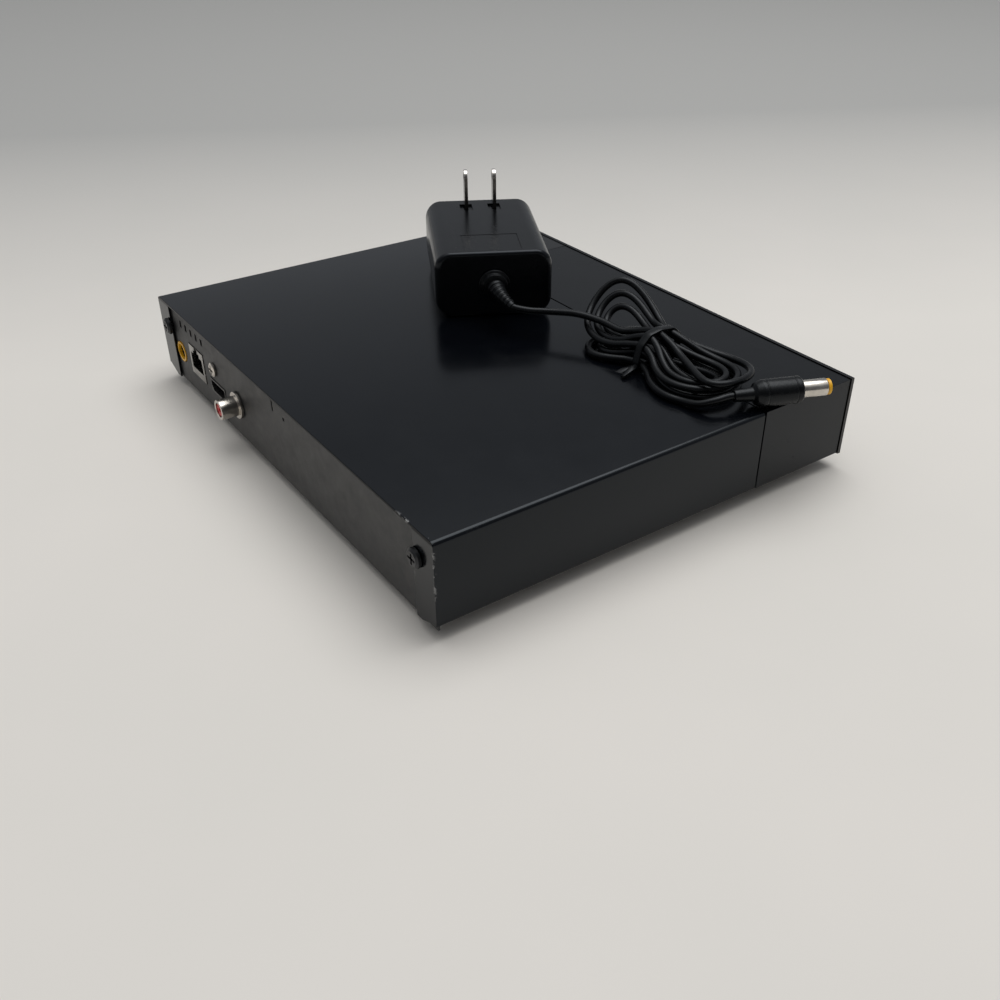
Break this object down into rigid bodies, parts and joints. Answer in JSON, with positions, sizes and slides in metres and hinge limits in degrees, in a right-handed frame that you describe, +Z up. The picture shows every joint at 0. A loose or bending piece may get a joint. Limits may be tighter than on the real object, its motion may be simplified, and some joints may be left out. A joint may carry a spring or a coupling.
{
  "type": "optical disc player",
  "caption": "Flat disc player with a sliding tray, rear jack panel and dished feet; its plug-in power supply and hanked cord lie on the top cover.",
  "frame": {"origin": "on the surface that the feet stand on, under the middle of the player from the front plate to the end of the coax jack", "axes": "+X towards the right side seen from the front, +Y towards the rear panel, +Z up"},
  "size_m": [0.2378, 0.1944, 0.0833],
  "materials": {
    "black_paint": "satin black paint with faint scratches and worn corners",
    "rear_paint": "dark grey powder paint",
    "black_plastic": "black moulded plastic, fine texture",
    "gloss_plastic": "piano black front",
    "steel": "zinc plated sheet",
    "nickel": "nickel plate",
    "dark_steel": "blackened steel",
    "board_green": "solder mask",
    "chip_black": "moulded package",
    "aluminium": "extruded",
    "yellow_plastic": "moulded",
    "red_plastic": "moulded",
    "white_plastic": "natural moulded",
    "rubber": "soft feet and belt",
    "lens_glass": "coated lens",
    "cord_black": "soft vinyl jacket"
  },
  "bodies": {
    "player": {"top_cover": "black_paint", "rear_panel": "rear_paint", "bottom_chassis": "steel", "front_bezel": "black_plastic", "front_plate": "gloss_plastic", "control_block": "gloss_plastic", "indicator_lens": "white_plastic", "usb_port": "nickel", "foot_front_left": "rubber", "foot_front_right": "rubber", "foot_rear_left": "rubber", "foot_rear_right": "rubber", "cover_screw_right": "dark_steel", "cover_screw_left": "dark_steel", "hdmi_screw": "nickel", "main_board": "board_green", "processor_chip": "chip_black", "heat_sink": "aluminium", "lan_jack": "nickel", "hdmi_jack": "nickel", "coax_jack": "nickel", "coax_insert": "red_plastic", "dc_jack": "black_plastic", "dc_jack_ring": "yellow_plastic", "front_board": "board_green", "loader_frame": "black_plastic", "clamp_bridge": "steel", "loading_motor": "steel", "drive_belt": "rubber"},
    "tray": {"disc_tray": "black_plastic", "tray_door": "gloss_plastic"},
    "tray_drive_gear": {"tray_gear": "white_plastic"},
    "belt_pulley_gear": {"pulley_gear": "white_plastic"},
    "loading_pulley": {"motor_pulley": "white_plastic"},
    "cam": {"cam_slider": "white_plastic"},
    "traverse": {"traverse_frame": "dark_steel", "spindle_motor": "aluminium", "guide_rod_left": "steel", "guide_rod_right": "steel", "sled_motor": "steel"},
    "spindle": {"turntable": "black_plastic"},
    "clamper": {"disc_clamper": "white_plastic"},
    "pickup": {"optical_pickup": "dark_steel"},
    "lens": {"objective_lens": "lens_glass"},
    "sled_screw": {"lead_screw": "steel"},
    "power_key": {"power_button": "gloss_plastic"},
    "eject_key": {"eject_button": "gloss_plastic"},
    "power_supply": {"adapter_case": "black_plastic", "adapter_lid": "black_plastic", "adapter_circuit": "board_green", "blade_left": "nickel", "blade_right": "nickel", "strain_relief": "cord_black", "supply_cord": "cord_black", "cord_hank": "cord_black", "cord_tail": "cord_black", "cord_tie": "cord_black", "plug_body": "cord_black", "plug_barrel": "nickel", "plug_tip": "yellow_plastic"}
  },
  "joints": [
    {"name": "tray_slide", "type": "slide", "parent": "player", "child": "tray", "axis": [0, -1, 0], "range_m": [0, 0.128]},
    {"name": "tray_gear_spin", "type": "hinge", "parent": "player", "child": "tray_drive_gear", "pos_m": [-0.0857, -0.0674, 0.017], "axis": [0, 0, 1], "range_deg": [-5, 765]},
    {"name": "pulley_gear_spin", "type": "hinge", "parent": "player", "child": "belt_pulley_gear", "pos_m": [-0.0708, -0.0674, 0.015], "axis": [0, 0, 1], "range_deg": [-1525, 5]},
    {"name": "motor_pulley_spin", "type": "hinge", "parent": "player", "child": "loading_pulley", "pos_m": [-0.0248, -0.0674, 0.015], "axis": [0, 0, 1], "range_deg": [-4564.9, 5]},
    {"name": "traverse_tilt", "type": "hinge", "parent": "player", "child": "traverse", "pos_m": [-0.038, 0.055, 0.017], "axis": [1, 0, 0], "range_deg": [0, 3.5]},
    {"name": "cam_slide", "type": "slide", "parent": "player", "child": "cam", "axis": [1, 0, 0], "range_m": [0, 0.0241]},
    {"name": "spindle_spin", "type": "hinge", "parent": "traverse", "child": "spindle", "pos_m": [-0.038, -0.0267, 0.023], "axis": [0, 0, 1], "continuous": true},
    {"name": "clamper_spin", "type": "hinge", "parent": "player", "child": "clamper", "pos_m": [-0.038, -0.0267, 0.03], "axis": [0, 0, 1], "continuous": true},
    {"name": "pickup_slide", "type": "slide", "parent": "traverse", "child": "pickup", "axis": [0, 1, 0], "range_m": [0, 0.034]},
    {"name": "lead_screw_spin", "type": "hinge", "parent": "traverse", "child": "sled_screw", "pos_m": [-0.013, 0.02, 0.0152], "axis": [0, 1, 0], "range_deg": [-5, 4085]},
    {"name": "lens_focus", "type": "slide", "parent": "pickup", "child": "lens", "axis": [0, 0, 1], "range_m": [-0.0004, 0.0008], "stiffness_N_per_m": 100},
    {"name": "power_press", "type": "slide", "parent": "player", "child": "power_key", "axis": [0, 1, 0], "range_m": [0, 0.0005], "stiffness_N_per_m": 300},
    {"name": "eject_press", "type": "slide", "parent": "player", "child": "eject_key", "axis": [0, 1, 0], "range_m": [0, 0.0005], "stiffness_N_per_m": 300},
    {"name": "supply_lift", "type": "slide", "parent": "player", "child": "power_supply", "axis": [0, 0, 1], "range_m": [0, 0.06]}
  ],
  "couplings": [
    {"joint": "tray_gear_spin", "follows": "tray_slide", "rad_per_m": 103.63},
    {"joint": "pulley_gear_spin", "follows": "tray_slide", "rad_per_m": -207.25},
    {"joint": "motor_pulley_spin", "follows": "tray_slide", "rad_per_m": -621.76},
    {"joint": "cam_slide", "follows": "traverse_tilt", "m_per_rad": 0.3929},
    {"joint": "clamper_spin", "follows": "spindle_spin", "ratio": 1},
    {"joint": "lead_screw_spin", "follows": "pickup_slide", "rad_per_m": 2094.4}
  ]
}
